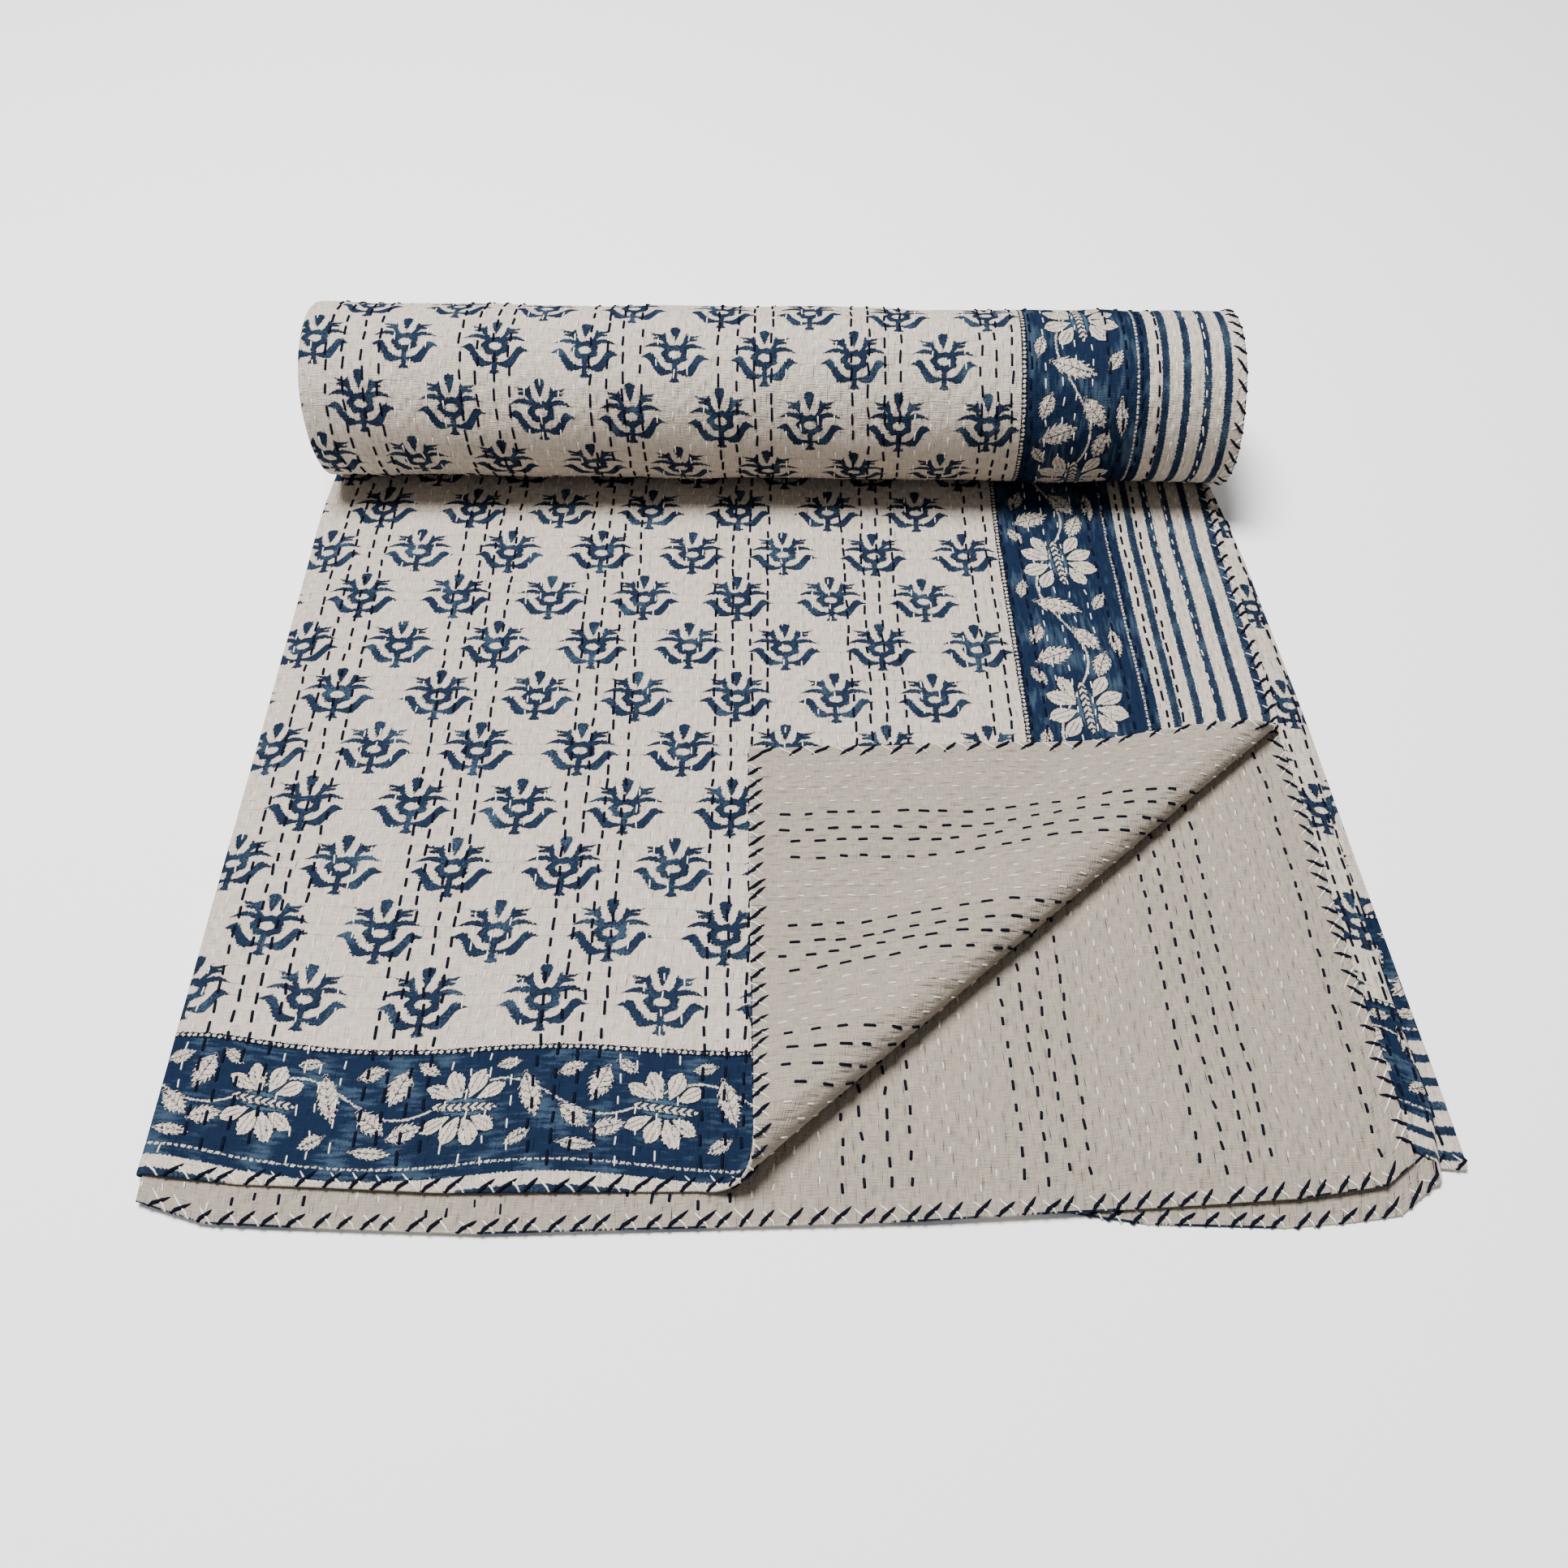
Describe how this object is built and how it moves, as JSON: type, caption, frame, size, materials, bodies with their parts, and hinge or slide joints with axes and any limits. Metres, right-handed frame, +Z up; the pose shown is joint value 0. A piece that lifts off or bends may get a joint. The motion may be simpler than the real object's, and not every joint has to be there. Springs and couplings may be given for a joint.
{
  "type": "kantha quilt",
  "caption": "Block-printed kantha quilt folded into a layered rectangle, its back end wound into a roll on top and one front corner turned back to show the plain reverse.",
  "frame": {"origin": "middle of the folded quilt's footprint, on the surface that it lies on", "axes": "+X to the right across the bundle, +Y from the front hems to the roll at the back, +Z up"},
  "size_m": [0.6074, 0.5734, 0.112],
  "materials": {
    "quilted_cotton": "hand-quilted cotton: cream field with an indigo block print outside and plain cream inside, dark and cream running stitches, dark whip-stitched hems"
  },
  "bodies": {
    "root": {"quilt": "quilted_cotton"}
  },
  "joints": []
}
